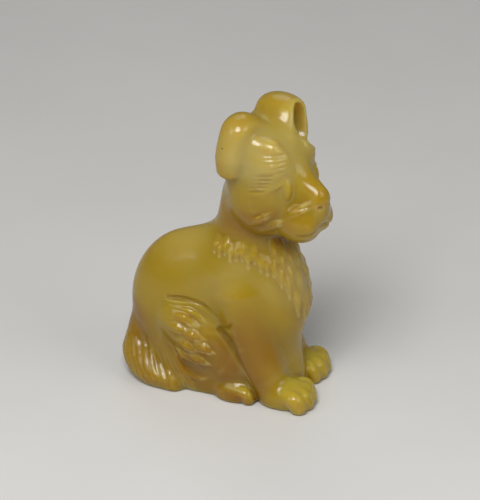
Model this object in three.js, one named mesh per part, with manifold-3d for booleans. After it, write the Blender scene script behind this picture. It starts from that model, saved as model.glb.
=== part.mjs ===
// A seated puppy with folded ears, carved from one lump of butterscotch amber and polished.
// Millimetres, +Z up, +X the way the body faces and +Y to the dog's left. The origin lies on
// the ground, under the middle of the figure.

import * as THREE from "three";
import { mergeVertices } from "three/addons/utils/BufferGeometryUtils.js";
import Module from "manifold-3d";

// Driving dimensions.
const HEIGHT = 45; // ground to the tops of the ears, mm
const HEAD_TURN = 20; // how far the dog looks to its right, degrees
const FINE_CELL = 2; // facet size where the carving is fine, in shares of the height
const PLAIN_CELL = 3.5; // facet size across the smooth upper trunk, in shares of the height

// The figure is laid out in shares of its own height: it stands TALL shares high, and every
// place and radius below is in shares. A share times SHARE is a length in millimetres.
const TALL = 99;
const SHARE = HEIGHT / TALL;
const SIDES = [-1, 1]; // the dog's right and left
const FAR = 10; // beyond this distance a rough one will do

// A form is a function of (x, y, z) that gives about how far a point is outside the form's skin,
// and less than nothing inside it.

// An ellipsoid.
function ball([cx, cy, cz], [rx, ry, rz]) {
  return (x, y, z) => {
    const dx = (x - cx) / rx;
    const dy = (y - cy) / ry;
    const dz = (z - cz) / rz;
    const reach = Math.sqrt(dx * dx + dy * dy + dz * dz);
    const slope = Math.sqrt((dx / rx) ** 2 + (dy / ry) ** 2 + (dz / rz) ** 2);
    return slope < 1e-9 ? -Math.min(rx, ry, rz) : (reach * (reach - 1)) / slope;
  };
}

// A round limb along a smooth curve through stops of [x, y, z, radius].
function limb(stops, steps = 5) {
  const curve = new THREE.CatmullRomCurve3(stops.map(([x, y, z]) => new THREE.Vector3(x, y, z)));
  const count = (stops.length - 1) * steps;
  const nodes = [];
  for (let i = 0; i <= count; i++) {
    const p = curve.getPoint(i / count);
    const from = Math.min(Math.floor(i / steps), stops.length - 2);
    const radius = THREE.MathUtils.lerp(stops[from][3], stops[from + 1][3], i / steps - from);
    nodes.push([p.x, p.y, p.z, radius]);
  }
  const bounds = new THREE.Sphere().setFromPoints(nodes.map(([px, py, pz]) => new THREE.Vector3(px, py, pz)));
  const { center, radius: reach } = bounds;
  const thickest = Math.max(...nodes.map((node) => node[3]));
  return (x, y, z) => {
    const away = Math.hypot(x - center.x, y - center.y, z - center.z) - reach - thickest;
    if (away > FAR) return away;
    let nearest = Infinity;
    for (let i = 0; i < count; i++) {
      const [ax, ay, az, ar] = nodes[i];
      const [bx, by, bz, br] = nodes[i + 1];
      const [ex, ey, ez] = [bx - ax, by - ay, bz - az];
      const along = ((x - ax) * ex + (y - ay) * ey + (z - az) * ez) / (ex * ex + ey * ey + ez * ez);
      const t = Math.min(1, Math.max(0, along));
      const [dx, dy, dz] = [x - ax - t * ex, y - ay - t * ey, z - az - t * ez];
      nearest = Math.min(nearest, Math.sqrt(dx * dx + dy * dy + dz * dz) - ar - t * (br - ar));
    }
    return nearest;
  };
}

// The lesser of two distances, with the corner between them filled over a width of soft.
function softMin(a, b, soft) {
  const near = Math.max(soft - Math.abs(a - b), 0);
  return Math.min(a, b) - (near * near) / (4 * soft);
}

// Forms flowing into one another.
function join(soft, ...forms) {
  return (x, y, z) => {
    let d = forms[0](x, y, z);
    for (let i = 1; i < forms.length; i++) d = softMin(d, forms[i](x, y, z), soft);
    return d;
  };
}

// A form with others cut out of it.
function carve(soft, form, ...tools) {
  return (x, y, z) => {
    let d = form(x, y, z);
    for (const tool of tools) d = -softMin(-d, tool(x, y, z), soft);
    return d;
  };
}

// A form drawn out by a factor along an axis, about the place middle on that axis.
function drawnOut(form, axis, middle, factor) {
  return (...place) => {
    place[axis] = middle + (place[axis] - middle) / factor;
    return form(...place) * Math.min(1, factor);
  };
}

// The place on a form's skin that is nearest to a point.
function ontoSkin(form, [x, y, z], rounds = 6) {
  const h = 0.01;
  for (let i = 0; i < rounds; i++) {
    const d = form(x, y, z);
    const gx = (form(x + h, y, z) - form(x - h, y, z)) / (2 * h);
    const gy = (form(x, y + h, z) - form(x, y - h, z)) / (2 * h);
    const gz = (form(x, y, z + h) - form(x, y, z - h)) / (2 * h);
    const step = d / Math.max(gx * gx + gy * gy + gz * gz, 0.2);
    [x, y, z] = [x - step * gx, y - step * gy, z - step * gz];
  }
  return [x, y, z];
}

// A lock of hair that lies on a form's skin, sunk into it by a little, from its root through
// places to its tip.
function lock(form, places, width, sunk = 0) {
  const last = places.length - 1;
  const bed = (x, y, z) => form(x, y, z) + sunk;
  const stops = places.map((place, i) => {
    const swell = Math.sin(Math.PI * (0.25 + (0.72 * i) / last));
    return [...ontoSkin(bed, place), width * swell];
  });
  return limb(stops, 3);
}

// The trunk: a great round rump, a deep chest and the mass that joins them at the ground.
function trunk() {
  const rump = ball([-12.7, 0, 25.2], [21.9, 13.2, 26]);
  const chest = ball([8.5, 0, 33], [14.7, 12.3, 18.5]);
  const forequarters = ball([7, 0, 16], [12, 10.5, 19]);
  const belly = ball([-4, 0, 4], [26, 13, 14]);
  const neck = limb([[1, 0.5, 42, 12.5], [4.5, 0.5, 54, 11.5], [6.3, 0.5, 66, 11]]);
  return join(9, rump, chest, forequarters, belly, drawnOut(neck, 1, 0.5, 0.9));
}

function foreleg(side) {
  const leg = limb([
    [4, 5.5 * side, 35, 10],
    [8.2, 8 * side, 21, 7.6],
    [12.2, 9.4 * side, 11, 6.5],
    [15.5, 9.8 * side, 4, 5.6],
  ]);
  const pad = ball([18.4 - 0.9 * side, 10.1 * side, 3], [8.4, 6.3, 5.6]);
  return join(2, leg, pad);
}

// Toes that fan out over the front of a paw whose middle toes end at (x, y).
function toes(x, y, length, spread, radius, count = 4) {
  const made = [];
  for (let i = 0; i < count; i++) {
    const across = i - (count - 1) / 2;
    const back = 0.6 * across * across;
    made.push(limb([
      [x - length, y + 0.7 * across * spread, radius * 1.7, radius],
      [x - length * 0.45 - back, y + across * spread, radius * 1.55, radius * 1.08],
      [x - radius - back, y + across * spread, radius * 0.8, radius],
    ], 3));
  }
  return made;
}

function hindleg(side) {
  const middle = 9.6 * side;
  const mass = limb([[-15, middle, 24, 7.8], [-8.5, middle, 19, 9.8], [0, middle, 11.5, 7.6]]);
  const thigh = drawnOut(mass, 1, middle, 0.72);
  const foot = ball([3.4, 11.6 * side, 2.2], [7, 4.6, 5.2]);
  return join(0.8, thigh, foot);
}

function tail() {
  return limb([
    [-27, 0, 26, 4.4],
    [-30.2, -1.5, 16, 5],
    [-29.8, -5, 7, 5.6],
    [-25, -9.5, 3.5, 5],
    [-17, -12, 2, 3.6],
  ]);
}

// The collar of locks round the neck, which hangs lowest on the chest. An angle of 0 points
// forward from the neck.
function collar(body, side) {
  const [STEP, LAST] = [13, 140];
  const place = (angle, z) => {
    const a = THREE.MathUtils.degToRad(angle);
    return [4.5 + 14 * Math.cos(a), 14 * Math.sin(a) * side, z];
  };
  const made = [];
  for (let row = 0; row < 3; row++) {
    for (let angle = 6 + (row % 2) * STEP / 2; angle < LAST; angle += STEP) {
      const front = Math.exp(-((angle / 32) ** 2));
      if (row > 0 && front < 0.25 * row) break;
      const tip = 47.5 - 21 * front + 4 * (angle / LAST) ** 2 + 7.5 * row;
      const length = 7.5 + 4 * front;
      made.push(lock(body, [
        place(angle + 3, tip + length),
        place(angle + 1, tip + length / 2),
        place(angle, tip),
      ], 1.7, 0.2));
    }
  }
  return made;
}

// Flame-shaped locks down the thigh, inside the curl of hair that edges it. Each flame is given
// by its root (x, z), its length and how far it drops.
function thighLocks(body, side) {
  const y = 15 * side;
  const flames = [
    [-15.6, 27.2, 7.5, 2.9],
    [-17.3, 23.6, 6.3, 1],
    [-12.2, 21.9, 6.4, 1],
    [-12.6, 18, 6.1, 1.7],
    [-7, 16.8, 5, 1.8],
    [-15.6, 12, 6.5, 3.2],
    [-9.6, 12, 6.6, 1.6],
  ];
  const edges = [
    [[-18.5, 30.4], [-11.3, 30], [-8, 28.7], [-4.7, 26.1]],
    [[-19.5, 15.5], [-16.2, 11.1], [-12.3, 7], [-8, 5.6], [-4.1, 6.8]],
  ];
  return [
    ...flames.map(([x, z, length, drop]) => lock(body, [
      [x, y, z],
      [x + length * 0.5, y, z - drop * 0.1],
      [x + length, y, z - drop],
    ], 1.4, 0.1)),
    ...edges.map((edge) => lock(body, edge.map(([x, z]) => [x, y, z]), 1.3, 0.2)),
  ];
}

// The creases that part the thigh and the foreleg from the trunk.
function creases(body, side) {
  const y = 15 * side;
  return [
    lock(body, [[-20, y, 33], [-14, y, 33.5], [-7.5, y, 32], [-2.5, y, 28.5]], 0.8),
    lock(body, [[-1.2, y, 25], [2.3, y, 20], [6.5, y, 12.5], [10.5, y, 5]], 1.1),
    lock(body, [[-1, y, 24.8], [1, y, 25.6], [3.2, y, 28]], 0.7),
  ];
}

// Locks that fan down the tail, from the rump round to its tip on the dog's right.
function tailLocks(body) {
  const made = [];
  for (let i = 0; i < 9; i++) {
    const a = THREE.MathUtils.degToRad(92 + 16 * i);
    const [x, y] = [-20 - 14 * Math.sin(a), -1 + 14 * Math.cos(a)];
    made.push(lock(body, [
      [x - 5.5, y + 5, 13],
      [x - 3, y + 2.5, 8],
      [x - 0.5, y + 0.5, 3.5],
      [x + 1, y - 0.5, 0.2],
    ], 1.5, 0.3));
  }
  return made;
}

// The head, in its own frame: x runs forward along the nose from between the ears.
function head() {
  const skull = ball([1, 0, 80.5], [13.5, 12.5, 13.5]);
  const cheeks = SIDES.map((side) => ball([3.5, 5 * side, 68.5], [11, 8, 11.5]));
  const muzzle = limb([[8, 0, 74, 8.5], [16, 0, 70, 7], [20, 0, 68.8, 5.8]]);
  const bridge = limb([[9, 0, 83, 5.5], [16.5, 0, 77.5, 3.8], [22.5, 0, 75, 2.6]]);
  const chin = ball([15, 0, 61], [7, 5.5, 5]);
  const temples = SIDES.map((side) => ball([5.2, 6.6 * side, 83.6], [6.4, 4.8, 7]));
  const roots = SIDES.map((side) => ball([1.6, 8.6 * side, 87], [5.6, 4, 6]));
  const cheekbones = SIDES.map((side) => ball([7.5, 7 * side, 76.5], [6, 4.6, 6]));
  const skin = join(5, skull, ...cheeks, muzzle, bridge, chin, ...temples);
  const mass = join(2.5, skin, ...roots, ...cheekbones);
  const lips = SIDES.map((side) => ball([16.4, 3.8 * side, 65.4], [8.2, 5.1, 6.8]));
  const nose = ball([23.5, 0, 73], [2.3, 3.4, 3]);
  const forelocks = SIDES.map((side) => limb([
    [5.6, 8 * side, 89.4, 2.4],
    [9.8, 6.8 * side, 89, 2.6],
    [13.3, 5.4 * side, 86.6, 1],
  ]));
  const brows = SIDES.map((side) => ball([10.2, 6.8 * side, 83.5], [3.9, 3.4, 4]));
  const sockets = SIDES.map((side) => ball([17.8, 8.2 * side, 76], [2.8, 2.3, 4.6]));
  const eyes = SIDES.map((side) => ball([15.2, 6.4 * side, 76.3], [2.3, 2, 3.8]));
  const hairy = join(2, join(5, join(1.2, mass, ...lips), ...brows), ...forelocks);
  const mouth = lock(hairy, [
    [18.5, -8, 61.8],
    [22, -5.5, 63],
    [24.5, 0, 64.2],
    [22, 5.5, 63],
    [18.5, 8, 61.8],
  ], 0.6);
  const bare = join(1.2, carve(1.2, hairy, ...sockets, mouth), nose, ...eyes);
  const tufts = SIDES.flatMap((side) => faceLocks(bare, side));
  return carve(1, join(2.4, join(0.6, bare, ...tufts), ...SIDES.map(ear)), hollow());
}

// The longer locks of the face: three swept back over the brow and three over the cheek, the
// ridge over the eye, the moustache and the tufts of the jaw.
function faceLocks(face, side) {
  const made = [0, 1, 2].flatMap((i) => [
    lock(face, [
      [14.4, (5.8 + 0.5 * i) * side, 87.6 - 2.3 * i],
      [12, 9.2 * side, 87.3 - 2.3 * i],
      [8.8 - 0.3 * i, 11 * side, 87 - 2.3 * i],
    ], 0.9, 0.4),
    lock(face, [
      [12 - 1.2 * i, 9.4 * side, 80.4 - 2.3 * i],
      [8.8 - 1.2 * i, 11 * side, 79.4 - 2.3 * i],
      [4.8 - i, 12 * side, 78.6 - 2.3 * i],
    ], 0.9, 0.4),
  ]);
  made.push(
    lock(face, [[11, 9.8 * side, 76.8], [13, 8 * side, 79.2], [14.8, 5.6 * side, 81.6]], 0.9, 0.2),
    lock(face, [[16.5, 8.2 * side, 69], [19.5, 6.5 * side, 70.6], [23, 3.6 * side, 73]], 1.2, 0.3),
    lock(face, [[6, 12.2 * side, 64.5], [9, 11.4 * side, 66.5], [12.4, 10.2 * side, 68.7]], 1.3, 0.3),
    lock(face, [[9, 9.5 * side, 62], [12.5, 9.2 * side, 64.3], [16.5, 8.7 * side, 66.7]], 1.3, 0.3),
  );
  return made;
}

// One ear: it rises beside the crown, arches outward and hangs down as a leaf-shaped flap. The
// dog's left ear is the broader one.
function ear(side) {
  const at = 0.2 + 1.3 * side;
  const arch = 94.7 + 0.5 * side;
  return drawnOut(limb([
    [at + 0.5, 2.5 * side, 90.2, 3.8],
    [at, 6.8 * side, arch, 3.6],
    [at, 10.9 * side, arch - 0.4, 3.5],
    [at - 0.3, 13.3 * side, 89.6, 3.1],
    [at - 0.5, 14 * side, 84.8, 3.2],
    [at - 0.7, 14.1 * side, 80.6, 2.7],
  ], 6), 0, at, 1.75 + 0.35 * side);
}

// The hollow of the dog's left ear, which opens forward under its arch. The right is closed.
function hollow() {
  return ball([9.6, 10.2, 91], [6.6, 4, 7]);
}

// A form in the head's frame, moved onto the neck and turned.
function onNeck(form) {
  const [neckX, neckY] = [7.7, 0];
  const turn = THREE.MathUtils.degToRad(HEAD_TURN);
  const [c, s] = [Math.cos(turn), Math.sin(turn)];
  return (x, y, z) => {
    const [dx, dy] = [x - neckX, y - neckY];
    return form(dx * c - dy * s, dx * s + dy * c, z);
  };
}

function dog() {
  const limbs = SIDES.flatMap((side) => [foreleg(side), hindleg(side)]);
  const body = join(1.6, join(1.4, trunk(), ...limbs), tail());
  const hair = SIDES.flatMap((side) => [...collar(body, side), ...thighLocks(body, side)]);
  const feet = SIDES.flatMap((side) => [
    ...toes(28.4 - 0.9 * side, 10.1 * side, 9, 3.3, 2.7),
    ...toes(11.2, 11.9 * side, 7, 2.5, 2.1, 3),
  ]);
  const furred = join(0.7, carve(0.8, body, ...SIDES.flatMap((side) => creases(body, side))), ...hair);
  return join(1.6, join(0.7, furred, ...tailLocks(body), ...feet), onNeck(head()));
}

// Grid lines from low to high, as far apart as the spacing function says at each place.
function gridLines(low, high, spacing) {
  const lines = [low];
  while (lines.at(-1) < high) lines.push(lines.at(-1) + spacing(lines.at(-1)));
  return lines;
}

// The edges of a grid cell's six faces, each face as four corners in a ring. A corner's number
// has one bit for each axis, and the edge from corner c along axis a has the number 8a + c.
const CELL_FACES = [0, 1, 2].flatMap((a) => {
  const [b, c] = [1 << ((a + 1) % 3), 1 << ((a + 2) % 3)];
  return [0, 1 << a].map((near) => [near, near | b, near | b | c, near | c]);
});
const edgeBetween = (p, q) => Math.log2(p ^ q) * 8 + Math.min(p, q);

// Which of a cell's edges the skin crosses, grouped into the sheets of skin that cross them.
function sheetsInCell(inside) {
  const parent = new Map();
  const find = (e) => (parent.get(e) === e ? e : find(parent.get(e)));
  for (const ring of CELL_FACES) {
    const crossed = ring.map((corner, i) => {
      const next = ring[(i + 1) % 4];
      return inside[corner] === inside[next] ? -1 : edgeBetween(corner, next);
    });
    for (const e of crossed) if (e >= 0 && !parent.has(e)) parent.set(e, e);
    const hit = crossed.filter((e) => e >= 0);
    if (hit.length === 2) parent.set(find(hit[0]), find(hit[1]));
  }
  const sheets = new Map();
  for (const e of parent.keys()) {
    const root = find(e);
    if (!sheets.has(root)) sheets.set(root, []);
    sheets.get(root).push(e);
  }
  return [...sheets.values()];
}

// Fills corners until no square of the grid has its corners inside and outside by turns, where
// the skin could run two ways.
function fillCorners(depth, sizes) {
  const stride = [1, sizes[0], sizes[0] * sizes[1]];
  for (let filled = true; filled;) {
    filled = false;
    for (let n = 0; n < depth.length; n++) {
      const at = sizes.map((size, d) => Math.floor(n / stride[d]) % size);
      for (const [a, b] of [[0, 1], [1, 2], [2, 0]]) {
        if (at[a] === sizes[a] - 1 || at[b] === sizes[b] - 1) continue;
        const [p, q, r, s] = [n, n + stride[a], n + stride[a] + stride[b], n + stride[b]];
        const turns = depth[p] < 0 === depth[r] < 0 && depth[q] < 0 === depth[s] < 0;
        if (!turns || depth[p] < 0 === depth[q] < 0) continue;
        const [o1, o2] = depth[p] < 0 ? [q, s] : [p, r];
        depth[depth[o1] < depth[o2] ? o1 : o2] = -0.01;
        filled = true;
      }
    }
  }
}

// Wraps a form's skin in four-sided facets, on a grid with the given lines. Each cell has one
// vertex for each sheet of skin in it, and each grid edge that crosses the skin has one facet.
function wrap(form, lines) {
  const [nx, ny, nz] = lines.map((l) => l.length);
  const stride = [1, nx, nx * ny];
  const depth = new Float64Array(nx * ny * nz);
  for (let k = 0, n = 0; k < nz; k++) {
    for (let j = 0; j < ny; j++) {
      for (let i = 0; i < nx; i++, n++) depth[n] = form(lines[0][i], lines[1][j], lines[2][k]);
    }
  }
  fillCorners(depth, [nx, ny, nz]);
  const cornerStep = [...Array(8).keys()].map((c) => stride.reduce((s, d, a) => s + (c >> a & 1) * d, 0));
  const points = [];
  const vertexOf = new Map();
  for (let k = 0; k < nz - 1; k++) {
    for (let j = 0; j < ny - 1; j++) {
      for (let i = 0; i < nx - 1; i++) {
        const cell = i + j * nx + k * nx * ny;
        const inside = cornerStep.map((step) => depth[cell + step] < 0);
        if (inside.every((v) => v === inside[0])) continue;
        for (const sheet of sheetsInCell(inside)) {
          const sum = [0, 0, 0];
          for (const e of sheet) {
            const [axis, corner] = [e >> 3, e & 7];
            const [a, b] = [depth[cell + cornerStep[corner]], depth[cell + cornerStep[corner | 1 << axis]]];
            const index = [i, j, k].map((v, d) => v + (corner >> d & 1));
            const at = index.map((v, d) => lines[d][v]);
            at[axis] += (lines[axis][index[axis] + 1] - at[axis]) * (a / (a - b));
            at.forEach((v, d) => (sum[d] += v));
            vertexOf.set(cell * 24 + e, points.length);
          }
          points.push(sum.map((v) => v / sheet.length));
        }
      }
    }
  }
  const quads = [];
  for (let k = 1; k < nz - 1; k++) {
    for (let j = 1; j < ny - 1; j++) {
      for (let i = 1; i < nx - 1; i++) {
        const n = i + j * nx + k * nx * ny;
        for (let axis = 0; axis < 3; axis++) {
          const goesIn = depth[n] >= 0 && depth[n + stride[axis]] < 0;
          const comesOut = depth[n] < 0 && depth[n + stride[axis]] >= 0;
          if (!goesIn && !comesOut) continue;
          const [b, c] = [(axis + 1) % 3, (axis + 2) % 3];
          const around = [[0, 0], [1, 0], [1, 1], [0, 1]].map(([p, q]) => {
            const cell = n - p * stride[b] - q * stride[c];
            return vertexOf.get(cell * 24 + axis * 8 + (p << b | q << c));
          });
          quads.push(goesIn ? around.reverse() : around);
        }
      }
    }
  }
  return { points, quads };
}

// Evens the facets out and lays their corners on the form's skin.
function settle(form, { points, quads }, rounds) {
  for (let round = 0; round < rounds; round++) {
    const sum = points.map(() => [0, 0, 0, 0]);
    for (const quad of quads) {
      quad.forEach((v, i) => {
        for (const w of [quad[(i + 1) % 4], quad[(i + 3) % 4]]) {
          points[w].forEach((value, d) => (sum[v][d] += value));
          sum[v][3] += 1;
        }
      });
    }
    points = points.map((p, i) => ontoSkin(form, p.map((v, d) => (v + sum[i][d] / sum[i][3]) / 2), 3));
  }
  return { points, quads };
}

// The two triangles of each facet, split along the diagonal that lies nearer the skin, or along
// the other one where that pair of corners is joined already.
function triangles(form, { points, quads }) {
  const joined = new Set();
  const pair = (p, q) => Math.min(p, q) * points.length + Math.max(p, q);
  for (const quad of quads) quad.forEach((v, i) => joined.add(pair(v, quad[(i + 1) % 4])));
  return quads.flatMap(([a, b, c, d]) => {
    const gap = (p, q) => Math.abs(form(...points[p].map((v, i) => (v + points[q][i]) / 2)));
    const first = joined.has(pair(b, d)) || (!joined.has(pair(a, c)) && gap(a, c) < gap(b, d));
    joined.add(first ? pair(a, c) : pair(b, d));
    return first ? [a, b, c, a, c, d] : [a, b, d, b, c, d];
  });
}

// How far the grid reaches past the figure, in shares: behind and before it, to either side,
// and under the ground and above its ears. Between the plain heights the facets are larger.
const REACH = [[-42.075, 34.155], [-24.255, 24.255], [-16.83, 105.93]];
const PLAIN = [32.175, 42.075];
const cellAt = (z) => (z > PLAIN[0] && z < PLAIN[1] ? PLAIN_CELL : FINE_CELL);

const form = dog();
const lines = REACH.map(([low, high], axis) => gridLines(low, high, axis === 2 ? cellAt : () => FINE_CELL));
const shell = settle(form, wrap(form, lines), 3);

const wasm = await Module();
wasm.setup();

function solid(positions, indices) {
  return new wasm.Manifold(new wasm.Mesh({
    numProp: 3,
    vertProperties: new Float32Array(positions),
    triVerts: new Uint32Array(indices),
  }));
}

// Everything under the ground, cut off flat.
const SLAB = 198; // the slab's length, width and twice its depth, in shares
const slab = new THREE.BoxGeometry(SLAB, SLAB, SLAB / 2).translate(0, 0, -SLAB / 4);
slab.scale(SHARE, SHARE, SHARE);
slab.deleteAttribute("normal");
slab.deleteAttribute("uv");
const ground = mergeVertices(slab);
const raw = solid(shell.points.flat().map((v) => v * SHARE), triangles(form, shell));
const cut = raw.subtract(solid(ground.attributes.position.array, ground.index.array)).getMesh();

const geometry = new THREE.BufferGeometry();
geometry.setAttribute("position", new THREE.BufferAttribute(cut.vertProperties, 3));
geometry.setIndex(new THREE.BufferAttribute(cut.triVerts, 1));
geometry.computeBoundingBox();
const middle = geometry.boundingBox.getCenter(new THREE.Vector3());
geometry.translate(-middle.x, -middle.y, 0);

const amber = new THREE.MeshStandardMaterial({ color: 0xc9a640, roughness: 0.2, metalness: 0 });
const figure = new THREE.Mesh(geometry, amber);
figure.name = "dog";
const part = new THREE.Group();
part.add(figure);
export default part;
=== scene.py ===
"""A seated puppy with folded ears, carved from butterscotch amber and polished."""

import math

import bpy
import numpy as np
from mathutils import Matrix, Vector


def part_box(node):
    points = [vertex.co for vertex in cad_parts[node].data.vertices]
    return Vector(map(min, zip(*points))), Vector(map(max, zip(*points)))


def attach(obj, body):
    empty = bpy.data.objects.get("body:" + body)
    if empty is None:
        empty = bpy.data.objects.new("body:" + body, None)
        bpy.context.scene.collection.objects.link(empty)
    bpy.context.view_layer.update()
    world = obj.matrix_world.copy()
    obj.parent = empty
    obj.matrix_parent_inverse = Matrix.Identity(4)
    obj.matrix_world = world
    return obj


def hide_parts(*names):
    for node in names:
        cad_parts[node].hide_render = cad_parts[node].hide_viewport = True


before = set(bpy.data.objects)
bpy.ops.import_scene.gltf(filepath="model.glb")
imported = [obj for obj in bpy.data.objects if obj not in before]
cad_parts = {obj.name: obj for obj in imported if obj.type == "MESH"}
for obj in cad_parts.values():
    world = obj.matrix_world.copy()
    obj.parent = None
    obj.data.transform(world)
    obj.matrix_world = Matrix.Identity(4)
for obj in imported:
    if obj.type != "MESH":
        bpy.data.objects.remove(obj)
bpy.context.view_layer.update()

# The figure is laid out in shares of its own height, as its solid is: it stands 99 shares high.
# x runs forward, y to the dog's left, z up, and the origin is on the ground under the neck.
HEAD_TURN = 20  # how far the dog looks to its right, degrees
CELL = 0.48  # facet size of the carved skin, shares
COARSE = 4  # fine cells along one cell of the first, rough search
BAND = 2.1  # the skin is sought this near the rough grid's points, shares
SIDES = (-1, 1)  # the dog's right and left
FAR = 10  # beyond this distance a rough one will do
NEAR_HAIR = 2.5  # the same for a lock of hair
# Where the colour is deeper, or milkier if less than 0, partly as the amber's own tone and partly as
# painted shade (deeper) and painted highlight (milkier): x, y, z, reach and how much.
TONE_AND_LIGHT_CLOUDS = (
    # the neck's deep patch under the chin is partly painted shade
    (5, -4, 63, 15, 0.45),
    (-6, -12, 13, 14, 0.4),
    (-6, 12, 13, 14, 0.4),
    (7, -14, 4, 8, 0.4),
    (7, 14, 4, 8, 0.4),
    (12, -9, 22, 12, 0.25),
    (-31, -2, 20, 9, 0.4),
    (-26, -10, 6, 8, 0.12),
    # the near temple's milky patch is a painted highlight
    (12.5, -10.3, 85, 9, -0.65),
    (18, 4.8, 84, 9, -0.4),
    (18, 0, 42, 11, -0.5),
    (4.5, -14, 50, 7, -0.4),
    (-14, 0, 52, 12, -0.15),
    (1.3, -12.5, 39.7, 6.5, -0.22),
    (2.5, -12, 89, 9, -0.35),
    (13.5, 10, 93, 9, -0.25),
)
# The small dark pit in the skin of the right ear.
PIT, PIT_RADIUS = (0.13, -14.895, 89.2), 0.264
# The corners of the grid that the figure is found in.
LOW, HIGH = np.array([-42.0, -24.0, -1.92]), np.array([34.0, 24.0, 104.0])

# How far from the skin the colour's guides look, in shares.
CREASE_REACH, NOOK_REACH, RIDGE_DEPTH = 1.1, 7, 0.8
THIN_DEPTHS = (4, 7, 10, 13, 16)
SPREAD_ROUNDS = 40  # how often a guide is evened out over the skin


# A form is a function of an array of points that gives about how far each one is outside the
# form's skin, and less than nothing inside it.

def ball(centre, radii):
    """An ellipsoid."""
    centre, radii = np.array(centre, float), np.array(radii, float)

    def form(p):
        q = (p - centre) / radii
        reach = np.sqrt(np.einsum("ij,ij->i", q, q))
        q /= radii
        slope = np.sqrt(np.einsum("ij,ij->i", q, q))
        return reach * (reach - 1) / np.maximum(slope, 1e-9)

    return form


def smooth_route(stops, steps):
    """Places along a centripetal Catmull-Rom curve through stops, with steps to each stretch."""
    stops = np.array(stops, float)
    ends = np.vstack([2 * stops[0] - stops[1], stops, 2 * stops[-1] - stops[-2]])
    gap = np.maximum(np.linalg.norm(np.diff(ends[:, :3], axis=0), axis=1) ** 0.5, 1e-4)
    made = []
    for i in range(len(stops) - 1):
        p0, p1, p2, p3 = ends[i:i + 4, :3]
        g0, g1, g2 = gap[i:i + 3]
        out = ((p1 - p0) / g0 - (p2 - p0) / (g0 + g1) + (p2 - p1) / g1) * g1
        into = ((p2 - p1) / g1 - (p3 - p1) / (g1 + g2) + (p3 - p2) / g2) * g1
        for t in np.arange(steps) / steps:
            bend = (-3 * p1 + 3 * p2 - 2 * out - into) * t**2 + (2 * p1 - 2 * p2 + out + into) * t**3
            radius = stops[i, 3] + (stops[i + 1, 3] - stops[i, 3]) * t
            made.append([*(p1 + out * t + bend), radius])
    return np.array([*made, stops[-1]])


def limb(stops, steps=5, far=FAR):
    """A round limb along a smooth curve through stops of (x, y, z, radius)."""
    nodes = smooth_route(stops, steps)
    centre = (nodes[:, :3].max(0) + nodes[:, :3].min(0)) / 2
    reach = np.linalg.norm(nodes[:, :3] - centre, axis=1).max() + nodes[:, 3].max()

    def form(p):
        d = p - centre
        away = np.sqrt(np.einsum("ij,ij->i", d, d)) - reach
        near = np.nonzero(away < far)[0]
        if not len(near):
            return away
        q = p[near]
        best = np.full(len(near), np.inf)
        for a, b in zip(nodes[:-1], nodes[1:]):
            run = b[:3] - a[:3]
            t = np.clip((q - a[:3]) @ run / (run @ run), 0, 1)
            d = q - a[:3] - t[:, None] * run
            best = np.minimum(best, np.sqrt(np.einsum("ij,ij->i", d, d)) - a[3] - t * (b[3] - a[3]))
        away[near] = best
        return away

    return form


def soft_min(a, b, soft):
    """The lesser of two distances, with the corner between them filled over a width of soft."""
    near = np.maximum(soft - np.abs(a - b), 0)
    return np.minimum(a, b) - near * near / (4 * soft)


def join(soft, *forms):
    """Forms flowing into one another."""
    def form(p):
        d = forms[0](p)
        for other in forms[1:]:
            d = soft_min(d, other(p), soft)
        return d

    return form


def carve(soft, body, *tools):
    """A form with others cut out of it."""
    def form(p):
        d = body(p)
        for tool in tools:
            d = -soft_min(-d, tool(p), soft)
        return d

    return form


def drawn_out(body, axis, middle, factor):
    """A form drawn out by a factor along an axis, about the place middle on that axis."""
    def form(p):
        q = p.copy()
        q[:, axis] = middle + (q[:, axis] - middle) / factor
        return body(q) * min(1, factor)

    return form


def reading(form, p, h=0.01):
    """A form's distance and its gradient at each point, from the corners of a small tetrahedron."""
    steps = h * np.array([(1, -1, -1), (-1, -1, 1), (-1, 1, -1), (1, 1, 1)])
    d = form((p[None] + steps[:, None]).reshape(-1, 3)).reshape(4, -1)
    return d.mean(0), d.T @ steps / (4 * h * h)


def onto_skin(form, p, rounds=6, furthest=5.0):
    """The places on a form's skin that are nearest to points, and the way out at each."""
    for _ in range(rounds):
        d, g = reading(form, p)
        steep = np.einsum("ij,ij->i", g, g)
        step = d / np.maximum(steep, 0.2)
        p = p - np.clip(step, -furthest, furthest)[:, None] * g
    return p, g / np.sqrt(np.maximum(steep, 1e-9))[:, None]


def locks(form, routes, blunt=0.09, dive=0.5):
    """Locks of hair that lie on a form's skin. A route is a lock's width, how far it is sunk into
    the skin and its places, from its root to its tip. A blunt tip keeps that share of the width,
    and the root dives that share of the width deeper into the skin."""
    laid, out = onto_skin(form, np.concatenate([np.array(places, float) for _, _, places in routes]))
    made, first = [], 0
    for width, sunk, places in routes:
        here = slice(first, first + len(places))
        first += len(places)
        swell = width * np.sin(np.linspace(0.25 * np.pi, np.pi - math.asin(blunt), len(places)))
        depth = np.full((len(places), 1), float(sunk))
        depth[0] += dive * width
        made.append(limb(np.column_stack([laid[here] - depth * out[here], swell]), 3, NEAR_HAIR))
    return made


def mirrored(places, side):
    """Places on the dog's left, or the same on its right."""
    return [(x, y * side, z) for x, y, z in places]


def trunk():
    """A great round rump, a deep chest and the mass that joins them at the ground."""
    rump = ball((-12.7, 0, 25.2), (21.9, 13.2, 26))
    chest = ball((8.5, 0, 33), (14.7, 12.3, 18.5))
    forequarters = ball((7, 0, 16), (12, 10.5, 19))
    belly = ball((-4, 0, 4), (26, 13, 14))
    neck = limb([(1, 0.5, 42, 12.5), (4.5, 0.5, 54, 11.5), (6.3, 0.5, 66, 11)], 9)
    return join(9, rump, chest, forequarters, belly, drawn_out(neck, 1, 0.5, 0.9))


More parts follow.
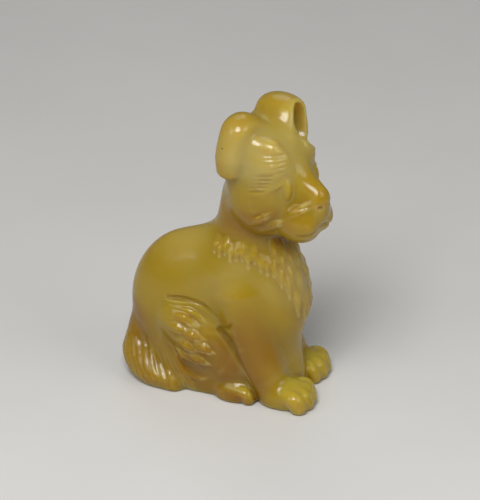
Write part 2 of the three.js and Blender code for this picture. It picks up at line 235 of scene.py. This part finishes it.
def foreleg(side):
    """A foreleg with the pad of its paw."""
    leg = limb([
        (4, 5.5 * side, 35, 10),
        (8.2, 8 * side, 21, 7.6),
        (12.2, 9.4 * side, 11, 6.5),
        (15.5, 9.8 * side, 4, 5.6),
    ], 10)
    pad = ball((18.4 - 0.9 * side, 10.1 * side, 3), (8.4, 6.3, 5.6))
    return join(2, leg, pad)


def toes(x, y, length, spread, radius, count=4):
    """Toes that fan out over the front of a paw whose middle toes end at (x, y)."""
    made = []
    for i in range(count):
        across = i - (count - 1) / 2
        back = 0.6 * across**2
        made.append(limb([
            (x - length, y + 0.7 * across * spread, radius * 1.7, radius),
            (x - length * 0.45 - back, y + across * spread, radius * 1.55, radius * 1.08),
            (x - radius - back, y + across * spread, radius * 0.8, radius),
        ], 4))
    return made


def hindleg(side):
    """The flat bulge of a folded thigh, and the foot under it."""
    middle = 9.6 * side
    mass = limb([(-15, middle, 24, 7.8), (-8.5, middle, 19, 9.8), (0, middle, 11.5, 7.6)], 9)
    foot = ball((3.4, 11.6 * side, 2.2), (7, 4.6, 5.2))
    return join(0.8, drawn_out(mass, 1, middle, 0.72), foot)


def tail():
    """The tail: it comes down behind the rump and curls forward round the dog's right."""
    return limb([
        (-27, 0, 26, 4.4),
        (-30.2, -1.5, 16, 5),
        (-29.8, -5, 7, 5.6),
        (-25, -9.5, 3.5, 5),
        (-17, -12, 2, 3.6),
    ], 9)


def on_collar(side, angle, z):
    """A place about the neck. An angle of 0 points forward from it."""
    middle, radius = 4.5, 14
    a = math.radians(angle)
    return middle + radius * math.cos(a), radius * math.sin(a) * side, z


def frontness(angle):
    """How much a place on the collar is in front, from 1 on the chest down to 0 at the sides."""
    return math.exp(-((angle / 32) ** 2))


def collar_edge(angle):
    """The height of the collar's lower edge, which hangs lowest on the chest."""
    return 47.5 - 21 * frontness(angle) + 4 * (angle / 140) ** 2


def collar(side):
    """The collar of hanging locks round the neck: a fringe that thickens on the chest. Each lock
    is a long strand between two shorter ones."""
    first, step, last, rise = 4, 9, 138, 6.3
    strands = ((0, 1.3, 0), (-2.9, 0.9, 2), (2.9, 0.9, 1.3))
    rng = np.random.default_rng(7 + side)
    routes = []
    for row in range(3):
        for angle in np.arange(first + (row % 2) * step / 2, last, step):
            front = frontness(angle)
            if row > 0 and front < 0.25 * row:
                break
            tip = collar_edge(angle) + rise * row + rng.uniform(-1.2, 1.2)
            length, lean = 5.4 + 6.4 * front, rng.uniform(1, 4)
            for aside, width, short in strands:
                at = angle + aside
                routes.append((width, 0.05, [
                    on_collar(side, at + lean, tip + length),
                    on_collar(side, at + 0.3 * lean, tip + short + 0.5 * (length - short)),
                    on_collar(side, at - 0.4 * aside, tip + short),
                ]))
    return routes


def thigh_locks(side):
    """Flame-shaped locks down the thigh, inside the curl of hair that edges it. Each flame is
    given by its root (x, z), its length and how far it drops."""
    flames = (
        (-16.6, 27.8, 9, 3.2),
        (-18.2, 23.9, 8.4, 1.4),
        (-13.2, 22.2, 8.4, 1.2),
        (-14.6, 18.8, 8.2, 2),
        (-8.6, 18.6, 6.6, 2),
        (-16.4, 14.2, 8, 3.2),
        (-11.4, 14.4, 8.2, 2),
    )
    edges = (
        ((-18.5, 30.4), (-11.3, 30), (-8, 28.7), (-4.7, 26.1)),
        ((-19.5, 15.5), (-16.2, 11.1), (-12.3, 7), (-8, 5.6), (-4.1, 6.8)),
    )
    strands = ((0, 1.45), (1.1, 0.75), (-1.4, 0.95))
    y = 15 * side
    routes = []
    for x, z, length, drop in flames:
        for aside, width in strands:
            routes.append((width, 0.05, [
                (x - 0.2 * abs(aside), y, z + aside),
                (x + length * 0.45, y, z - drop * 0.1 + 0.2 + aside),
                (x + length - 0.7 * abs(aside), y, z - drop + 0.3 * aside),
            ]))
    for edge in edges:
        routes.append((1.2, 0.3, [(x, y, z) for x, z in edge]))
    return routes


def creases(side):
    """The creases that part the thigh and the foreleg from the trunk."""
    y = 15 * side
    return [
        (0.8, 0, [(-20, y, 33), (-14, y, 33.5), (-7.5, y, 32), (-2.5, y, 28.5)]),
        (1.0, 0, [(-1.2, y, 25), (2.3, y, 20), (6.5, y, 12.5), (10.5, y, 5)]),
        (0.6, 0, [(-1, y, 24.8), (1, y, 25.6), (3.2, y, 28)]),
    ]


def tail_locks():
    """Locks that fan down the tail, from the rump round to its tip on the dog's right."""
    count, first, step, radius = 15, 90, 9.5, 14
    routes = []
    for i in range(count):
        a = math.radians(first + step * i)
        x, y = -20 - radius * math.sin(a), -1 + radius * math.cos(a)
        routes.append((1.35, 0.3, [
            (x - 5.5, y + 5, 13), (x - 3, y + 2.5, 8), (x - 0.5, y + 0.5, 3.5), (x + 1, y - 0.5, 0.2),
        ]))
    return routes


def face_strands(side):
    """Fine cuts that comb the hair of the face back over the cheek, the brow and the jaw. Each set
    is given by its number of cuts, their width, how far they are sunk, the places of the first
    and how far each place moves from one cut to the next."""
    cheek = (
        ((12.6, 9.4, 82.4), (-0.8, 0, -1.5)),
        ((9.2, 11, 81.4), (-0.8, 0, -1.5)),
        ((5, 12, 80.6), (-0.6, 0, -1.5)),
    )
    brow = (
        ((14.6, 5.6, 88.4), (0, 0.3, -1.3)),
        ((12.2, 9, 88.2), (0, 0, -1.35)),
        ((9, 11, 88), (-0.2, 0, -1.4)),
    )
    jaw = (
        ((7, 13, 73), (1.2, -0.7, -2.2)),
        ((4.6, 13, 71.8), (1.3, -0.9, -2.2)),
        ((2, 12.6, 71), (1.5, -1.2, -2.2)),
    )
    sets = ((5, 0.55, -0.15, cheek), (5, 0.5, -0.25, brow), (3, 0.45, -0.2, jaw))
    routes = []
    for count, width, sunk, places in sets:
        for i in range(count):
            cut = [[at + step * i for at, step in zip(*place)] for place in places]
            routes.append((width, sunk, mirrored(cut, side)))
    return routes


def face_locks(side):
    """The longer locks of the face: the ridge over the eye, the moustache and the tufts of the
    jaw."""
    routes = [(1.1, 0.15, mirrored([(10.6, 10, 76), (12.8, 8, 78.8), (14.6, 5.8, 81.4)], side))]
    for rise in (0, -1.5):
        routes += [
            (0.95, 0.2, mirrored([
                (16.5, 8.2, 69.6 + rise), (19.5, 6.5, 71.2 + rise), (23, 3.6, 73.8 + rise * 1.4),
            ], side)),
            (1.15, 0.2, mirrored([
                (4.6, 12.4, 64.2 + rise), (8.6, 11.5, 66.8 + rise), (12.6, 10.2, 69.4 + rise),
            ], side)),
            (1.15, 0.2, mirrored([
                (7.6, 9.6, 61.7 + rise), (12, 9.3, 64.5 + rise), (16.8, 8.7, 67.4 + rise),
            ], side)),
        ]
    return routes


def ear(side):
    """One ear: it rises beside the crown, arches outward and hangs down as a leaf-shaped flap.
    The dog's left ear is the broader one."""
    at = 0.2 + 1.3 * side
    breadth = 1.75 + 0.35 * side
    arch = 94.7 + 0.5 * side
    return drawn_out(limb([
        (at + 0.5, 2.5 * side, 90.2, 3.8),
        (at, 6.8 * side, arch, 3.6),
        (at, 10.9 * side, arch - 0.4, 3.5),
        (at - 0.3, 13.3 * side, 89.6, 3.1),
        (at - 0.5, 14 * side, 84.8, 3.2),
        (at - 0.7, 14.1 * side, 80.6, 2.7),
    ], 6), 0, at, breadth)


def hollow():
    """The hollow of the dog's left ear, which opens forward under its arch. The right is closed."""
    return ball((9.4, 9.5, 90.6), (7, 5, 7.4))


def head():
    """The head, in its own frame: x runs forward along the nose from between the ears."""
    skull = ball((1, 0, 80.5), (13.5, 12.5, 13.5))
    cheeks = [ball((3.5, 5 * s, 68.5), (11, 8, 11.5)) for s in SIDES]
    muzzle = limb([(8, 0, 74, 8.5), (16, 0, 70, 7), (20, 0, 68.8, 5.8)], 8)
    bridge = limb([(9, 0, 83, 5.5), (16.5, 0, 77.5, 3.8), (22.5, 0, 75, 2.6)], 8)
    chin = ball((15, 0, 61), (7, 5.5, 5))
    temples = [ball((5.2, 6.6 * s, 83.6), (6.4, 4.8, 7)) for s in SIDES]
    roots = [ball((1.6, 8.6 * s, 87), (5.6, 4, 6)) for s in SIDES]
    mass = join(5, skull, *cheeks, muzzle, bridge, chin, *temples)
    cheekbones = [ball((7.5, 7 * s, 76.5), (6, 4.6, 6)) for s in SIDES]
    mass = join(2.5, mass, *roots, *cheekbones)
    lips = [ball((16.4, 3.8 * s, 65.4), (8.2, 5.1, 6.8)) for s in SIDES]
    nose = ball((23.5, 0, 73), (2.3, 3.4, 3))
    nostrils = [ball((25.3, 2.3 * s, 71.6), (0.8, 0.7, 0.4)) for s in SIDES]
    forelocks = [limb([
        (5.6, 8 * s, 89.4, 2.4),
        (9.8, 6.8 * s, 89, 2.6),
        (13.3, 5.4 * s, 86.6, 1.0),
    ]) for s in SIDES]
    brows = [ball((10.2, 6.8 * s, 83.5), (3.9, 3.4, 4)) for s in SIDES]
    sockets = [ball((17.8, 8.2 * s, 76), (2.8, 2.3, 4.6)) for s in SIDES]
    eyes = [ball((15.3, 6.6 * s, 76.3), (2, 1.8, 3.7)) for s in SIDES]
    hairy = join(1.3, join(5, join(1.2, mass, *lips), *brows), *forelocks)
    mouth = locks(hairy, [(0.34, 0, [
        (20.4, -6.8, 62.2), (22.6, -4.6, 63.2), (24.5, 0, 64.2), (22.6, 4.6, 63.2), (20.4, 6.8, 62.2),
    ])], dive=0)
    bare = join(1.2, carve(1.2, hairy, *sockets, *mouth), nose, *eyes)
    bare = carve(0.8, bare, *nostrils)
    hair = locks(bare, [route for s in SIDES for route in face_locks(s)])
    cuts = locks(bare, [route for s in SIDES for route in face_strands(s)], dive=0)
    whole = join(2.4, carve(0.3, join(0.5, bare, *hair), *cuts), *[ear(s) for s in SIDES])
    return carve(1, whole, hollow())


def on_neck(form):
    """A form in the head's frame, moved onto the neck and turned."""
    neck = np.array([7.7, 0, 0])
    c, s = math.cos(math.radians(HEAD_TURN)), math.sin(math.radians(HEAD_TURN))
    turn = np.array([[c, s, 0], [-s, c, 0], [0, 0, 1]])
    return lambda p: form((p - neck) @ turn)


def dog():
    """The whole figure, cut off flat at the ground."""
    limbs = [make(s) for s in SIDES for make in (foreleg, hindleg)]
    body = join(1.6, join(1.4, trunk(), *limbs), tail())
    hair = locks(body, [route for s in SIDES for route in thigh_locks(s)])
    hair += locks(body, [route for s in SIDES for route in collar(s)], 0.35)
    feet = [toe for s in SIDES for toe in
            toes(28.4 - 0.9 * s, 10.1 * s, 9, 3.3, 2.7) + toes(11.2, 11.9 * s, 7, 2.5, 2.1, 3)]
    lines = locks(body, [route for s in SIDES for route in creases(s)], dive=0)
    furred = join(0.4, carve(0.8, body, *lines), *hair)
    whole = join(1.6, join(0.7, furred, *locks(body, tail_locks()), *feet), on_neck(head()))
    return lambda p: -soft_min(-whole(p), p[:, 2], 0.7)


def in_chunks(form, p, size=40000):
    """A form's distances at many points, a part of them at a time."""
    return np.concatenate([form(p[i:i + size]) for i in range(0, len(p), size)])


def distances(form):
    """The form's distances on a fine grid, true near its skin and rough away from it."""
    cells = np.ceil((HIGH - LOW) / (CELL * COARSE)).astype(int)
    axes = [LOW[d] + np.arange(cells[d] + 1) * CELL * COARSE for d in range(3)]
    rough = in_chunks(form, np.stack(np.meshgrid(*axes, indexing="ij"), -1).reshape(-1, 3))
    rough = rough.reshape(cells + 1)
    near = np.abs(rough) < BAND
    for axis in range(3):
        near = np.logical_or(*[near.take(range(k, near.shape[axis] - 1 + k), axis) for k in (0, 1)])
    field, wanted = rough, near
    for axis in range(3):
        field = np.repeat(field, COARSE, axis)
        wanted = np.repeat(wanted, COARSE, axis)
    shape = cells * COARSE + 1
    half = COARSE // 2
    field = np.ascontiguousarray(field[half:half + shape[0], half:half + shape[1], half:half + shape[2]])
    points = np.zeros(shape, bool)
    for i in (0, 1):
        for j in (0, 1):
            for k in (0, 1):
                points[i:shape[0] - 1 + i, j:shape[1] - 1 + j, k:shape[2] - 1 + k] |= wanted
    at = np.argwhere(points)
    field[tuple(at.T)] = in_chunks(form, LOW + at * CELL)
    return field


def facets(field):
    """Wraps the skin in four-sided facets: one vertex in each cell that the skin passes through,
    and one facet across each grid edge that it crosses."""
    inside = field < 0
    cells = np.array(field.shape) - 1
    corners = [(i, j, k) for i in (0, 1) for j in (0, 1) for k in (0, 1)]
    count = sum(inside[i:cells[0] + i, j:cells[1] + j, k:cells[2] + k].astype(np.int8)
                for i, j, k in corners)
    active = np.argwhere((count > 0) & (count < 8))
    number = np.full(cells, -1, np.int32)
    number[tuple(active.T)] = np.arange(len(active))
    total, hits = np.zeros((len(active), 3)), np.zeros(len(active))
    for axis in range(3):
        step = np.eye(3, dtype=int)[axis]
        for corner in corners:
            if corner[axis]:
                continue
            a = active + corner
            d0, d1 = field[tuple(a.T)], field[tuple((a + step).T)]
            crossed = (d0 < 0) != (d1 < 0)
            t = np.where(crossed, d0 / np.where(crossed, d0 - d1, 1), 0)
            total += np.where(crossed[:, None], a + t[:, None] * step, 0)
            hits += crossed
    points = LOW + total / hits[:, None] * CELL
    quads = []
    for axis in range(3):
        b, c = np.eye(3, dtype=int)[(axis + 1) % 3], np.eye(3, dtype=int)[(axis + 2) % 3]
        here = inside.take(range(inside.shape[axis] - 1), axis)
        there = inside.take(range(1, inside.shape[axis]), axis)
        edges = np.argwhere(here != there)
        edges = edges[(edges[:, (axis + 1) % 3] > 0) & (edges[:, (axis + 2) % 3] > 0)]
        around = np.stack([number[tuple((edges - off).T)] for off in (0 * b, b, b + c, c)], 1)
        leaving = here[tuple(edges.T)]
        around[~leaving] = around[~leaving][:, ::-1]
        quads.append(around)
    return points, np.concatenate(quads)


def averaging(quads, count):
    """A function that gives, at each of count points, the mean of a value over the points that
    facets join to it."""
    a, b = quads.ravel(), np.roll(quads, -1, 1).ravel()
    ends, others = np.concatenate([a, b]), np.concatenate([b, a])
    joined = np.bincount(ends, minlength=count)
    return lambda values: np.bincount(ends, values[others], count) / joined


def settled(form, points, quads, rounds=2, parts=8):
    """Evens the facets out and lays their corners on the form's skin, a part at a time. Gives the
    points and the way out of the skin at each."""
    around = averaging(quads, len(points))
    for _ in range(rounds):
        mean = np.stack([around(points[:, d]) for d in range(3)], 1)
        pieces = np.array_split((points + mean) / 2, parts)
        laid = [onto_skin(form, piece, 1, CELL) for piece in pieces]
        points, out = (np.concatenate(part) for part in zip(*laid))
    return points, out


def warmth_and_light(points):
    """How far the colour leans towards deep orange at each point, or towards milk below 0: partly the
    amber's own tone, partly painted shade in the low, thick places and painted highlight on the temples,
    ruff, back and ears.
    """
    lean = np.zeros(len(points))
    for x, y, z, reach, most in TONE_AND_LIGHT_CLOUDS:
        away = np.linalg.norm(points - np.array([x, y, z]), axis=1) / reach
        lean += most * np.exp(-(away**2))
    return lean


def guides(form, points, quads, out):
    """What the colour follows at each point, mostly to paint light and shade. From 0 to 1: how thin the
    body is behind it, for a painted glow; how deep it lies in a crease or a nook, for painted shade; and
    how much it stands out as a ridge, for a painted highlight. Then its tone, partly painted shade and
    highlight."""
    around = averaging(quads, len(points))

    def spread(values):
        for _ in range(SPREAD_ROUNDS):
            values = (values + around(values)) / 2
        return values

    def closed(reach):
        return np.clip(1 - in_chunks(form, points + out * reach) / reach, 0, 1)

    passed = [in_chunks(form, points - out * depth) > 0 for depth in THIN_DEPTHS]
    return {
        "thin": spread(sum(passed) / len(passed)),
        "crease": closed(CREASE_REACH),
        "nook": spread(closed(NOOK_REACH)),
        "ridge": closed(-RIDGE_DEPTH),
        "warmth_and_light": warmth_and_light(points),
    }


def smooth_object(name, places, quads):
    """An object with smooth four-sided facets."""
    mesh = bpy.data.meshes.new(name)
    mesh.vertices.add(len(places))
    mesh.vertices.foreach_set("co", places.ravel())
    mesh.loops.add(quads.size)
    mesh.loops.foreach_set("vertex_index", quads.ravel())
    mesh.polygons.add(len(quads))
    mesh.polygons.foreach_set("loop_start", np.arange(0, quads.size, 4))
    mesh.polygons.foreach_set("use_smooth", np.ones(len(quads), bool))
    mesh.update(calc_edges=True)
    mesh.validate()
    made = bpy.data.objects.new(name, mesh)
    bpy.context.collection.objects.link(made)
    return made


def figurine():
    """The carved figure, standing where its solid stands and as tall as it, with the size of its
    share and the place of its layout's origin, in metres."""
    form = dog()
    points, quads = facets(distances(form))
    points, out = settled(form, points, quads)
    low, high = (np.array(corner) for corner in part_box("dog"))
    least, most = points.min(0), points.max(0)
    share = (high[2] - low[2]) / (most[2] - least[2])
    origin = (low + high - (least + most) * share) / 2
    made = smooth_object("carved_dog", points * share + origin, quads)
    for name, values in guides(form, points, quads, out).items():
        made.data.attributes.new(name, "FLOAT", "POINT").data.foreach_set("value", values)
    return made, share, origin


class Nodes:
    """A material's node tree, with short calls that add linked nodes."""

    def __init__(self, name):
        self.material = bpy.data.materials.new(name)
        self.material.use_nodes = True
        self.tree = self.material.node_tree
        self.shader = self.tree.nodes["Principled BSDF"]

    def add(self, kind, **settings):
        node = self.tree.nodes.new(kind)
        inputs = settings.pop("inputs", {})
        for key, value in settings.items():
            setattr(node, key, value)
        for key, value in inputs.items():
            self.put(node.inputs[key], value)
        return node

    def put(self, socket, value):
        """Links a value to a socket, or sets it there if it is the same all over."""
        if isinstance(value, bpy.types.NodeSocket):
            self.tree.links.new(value, socket)
        else:
            socket.default_value = value

    def attribute(self, name):
        """One of the guides that the mesh holds."""
        return self.add("ShaderNodeAttribute", attribute_name=name).outputs["Fac"]

    def noise(self, place, scale, detail, distortion=0.0):
        """Cloudy unevenness: scale is how many times it changes in a metre."""
        return self.add("ShaderNodeTexNoise", inputs={
            "Vector": place, "Scale": scale, "Detail": detail, "Distortion": distortion,
        }).outputs["Fac"]

    def ramp(self, value, low, high, to_low=0.0, to_high=1.0):
        """A smooth step from to_low to to_high as a value goes from low to high."""
        return self.add("ShaderNodeMapRange", interpolation_type="SMOOTHSTEP", inputs={
            "Value": value, "From Min": low, "From Max": high, "To Min": to_low, "To Max": to_high,
        }).outputs["Result"]

    def blend(self, fraction, a, b):
        """Colour a turning to colour b with a fraction."""
        node = self.add("ShaderNodeMix", data_type="RGBA")
        self.put(node.inputs[0], fraction)
        self.put(node.inputs[6], a)
        self.put(node.inputs[7], b)
        return node.outputs[2]


def amber(pit, pit_radius):
    """Butterscotch amber: cloudy honey with milky swirls and one small dark pit, with light painted over
    it: a lemon glow where it is thin, orange-brown shade in the creases and nooks, milky highlights on
    the ridges, and patches of deeper and milkier tone that are partly painted shade and highlight."""
    n = Nodes("amber")
    honey, deep, dirt = (0.32, 0.215, 0.008, 1), (0.23, 0.11, 0.001, 1), (0.012, 0.008, 0.002, 1)
    lemon, milk = (0.40, 0.32, 0.035, 1), (0.40, 0.31, 0.08, 1)
    place = n.add("ShaderNodeTexCoord").outputs["Object"]
    swirl = n.noise(place, scale=130, detail=4, distortion=2.5)
    haze = n.noise(place, scale=42, detail=2, distortion=1.2)
    thin, crease, nook, ridge = (n.attribute(name) for name in ("thin", "crease", "nook", "ridge"))
    # The mesh's tone patches: partly the amber's own deeper and milkier tone, partly painted shade and
    # painted highlight.
    warm = n.add("ShaderNodeMath", operation="ADD", inputs={0: haze, 1: n.attribute("warmth_and_light")})
    cloud_and_light = warm.outputs[0]
    colour = n.blend(n.ramp(cloud_and_light, 0.45, 0.95), honey, deep)
    colour = n.blend(n.ramp(cloud_and_light, 0, 0.5, 1, 0), colour, milk)
    colour = n.blend(n.ramp(swirl, 0.5, 0.8, 0, 0.3), colour, milk)
    # Painted glow: lemon where the body is thin, for the light that shines through thin amber.
    colour = n.blend(n.ramp(thin, 0.1, 0.6, 0, 0.7), colour, lemon)
    # Painted shade: deep orange-brown in the nooks, where little light reaches.
    colour = n.blend(n.ramp(nook, 0.4, 1, 0, 0.9), colour, deep)
    # Painted highlight: milk along the ridges of the locks.
    colour = n.blend(n.ramp(ridge, 0.05, 0.6, 0, 0.85), colour, milk)
    # Painted shade: deep orange-brown in the creases.
    colour = n.blend(n.ramp(crease, 0.25, 0.9, 0, 0.55), colour, deep)
    away = n.add("ShaderNodeVectorMath", operation="DISTANCE", inputs={0: place, 1: pit})
    in_pit = n.ramp(away.outputs["Value"], 0.6 * pit_radius, 1.2 * pit_radius, 1, 0)
    colour = n.blend(in_pit, colour, dirt)
    n.put(n.shader.inputs["Base Color"], colour)
    n.shader.inputs["Roughness"].default_value = 0.19
    n.shader.inputs["IOR"].default_value = 1.54
    n.shader.inputs["Specular IOR Level"].default_value = 0.38
    n.shader.inputs["Subsurface Weight"].default_value = 0.9
    n.shader.inputs["Subsurface Radius"].default_value = (1.0, 0.55, 0.12)
    n.shader.inputs["Subsurface Scale"].default_value = 0.006
    wave = n.noise(place, scale=420, detail=3)
    bump = n.add("ShaderNodeBump", inputs={"Strength": 0.12, "Distance": 0.0002, "Height": wave})
    n.put(n.shader.inputs["Normal"], bump.outputs["Normal"])
    return n.material


piece, share, origin = figurine()
piece.data.materials.append(amber(tuple(np.array(PIT) * share + origin), PIT_RADIUS * share))
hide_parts("dog")
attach(piece, "root")


def floor():
    """A wide, plain, pale floor with a very faint unevenness of tone."""
    half = 2  # half its width, metres
    corners = [(-half, -half, 0), (half, -half, 0), (half, half, 0), (-half, half, 0)]
    mesh = bpy.data.meshes.new("floor")
    mesh.from_pydata(corners, [], [(0, 1, 2, 3)])
    made = bpy.data.objects.new("floor", mesh)
    bpy.context.collection.objects.link(made)
    n = Nodes("floor")
    place = n.add("ShaderNodeTexCoord").outputs["Object"]
    tone = n.ramp(n.noise(place, scale=30, detail=4), 0.3, 0.7)
    darker, paler = (0.61, 0.60, 0.58, 1), (0.63, 0.62, 0.60, 1)
    n.put(n.shader.inputs["Base Color"], n.blend(tone, darker, paler))
    n.shader.inputs["Roughness"].default_value = 0.6
    mesh.materials.append(n.material)


floor()


TARGET = Vector((0.00136, 0, 0.02102))  # the point in the figure that the view centres on, metres
VIEW_AZIMUTH, VIEW_ELEVATION, VIEW_DISTANCE = 18.6, 28.5, 0.7898  # degrees and metres
LENS, SENSOR = 400, 36  # millimetres


def placed(name, data, azimuth, elevation, distance):
    """A light or a camera that looks at the target from this bearing, in degrees and metres."""
    made = bpy.data.objects.new(name, data)
    a, e = math.radians(azimuth), math.radians(elevation)
    bearing = Vector((math.sin(a) * math.cos(e), -math.cos(a) * math.cos(e), math.sin(e)))
    made.location = TARGET + distance * bearing
    made.rotation_euler = (-bearing).to_track_quat("-Z", "Y").to_euler()
    bpy.context.collection.objects.link(made)
    return made


def light(name, azimuth, elevation, distance, size, power):
    """A soft square light, with its size in metres and its power in watts."""
    data = bpy.data.lights.new(name, "AREA")
    data.shape, data.size, data.energy = "SQUARE", size, power
    placed(name, data, azimuth, elevation, distance)


light("key", 5, 52, 0.35, 0.16, 1.05)
light("window", -36, 32, 0.4, 0.16, 0.2)
light("fill", 75, 35, 0.4, 0.22, 0.35)
light("rim", 200, 50, 0.4, 0.2, 0.15)

world = bpy.data.worlds.new("room")
world.use_nodes = True
background = world.node_tree.nodes["Background"]
background.inputs["Color"].default_value = (1, 1, 1, 1)
background.inputs["Strength"].default_value = 0.15
bpy.context.scene.world = world

camera_data = bpy.data.cameras.new("camera")
camera_data.lens, camera_data.sensor_width, camera_data.sensor_fit = LENS, SENSOR, "AUTO"
camera = placed("camera", camera_data, VIEW_AZIMUTH, VIEW_ELEVATION, VIEW_DISTANCE)
bpy.context.scene.camera = camera
bpy.context.scene.view_settings.view_transform = "Standard"
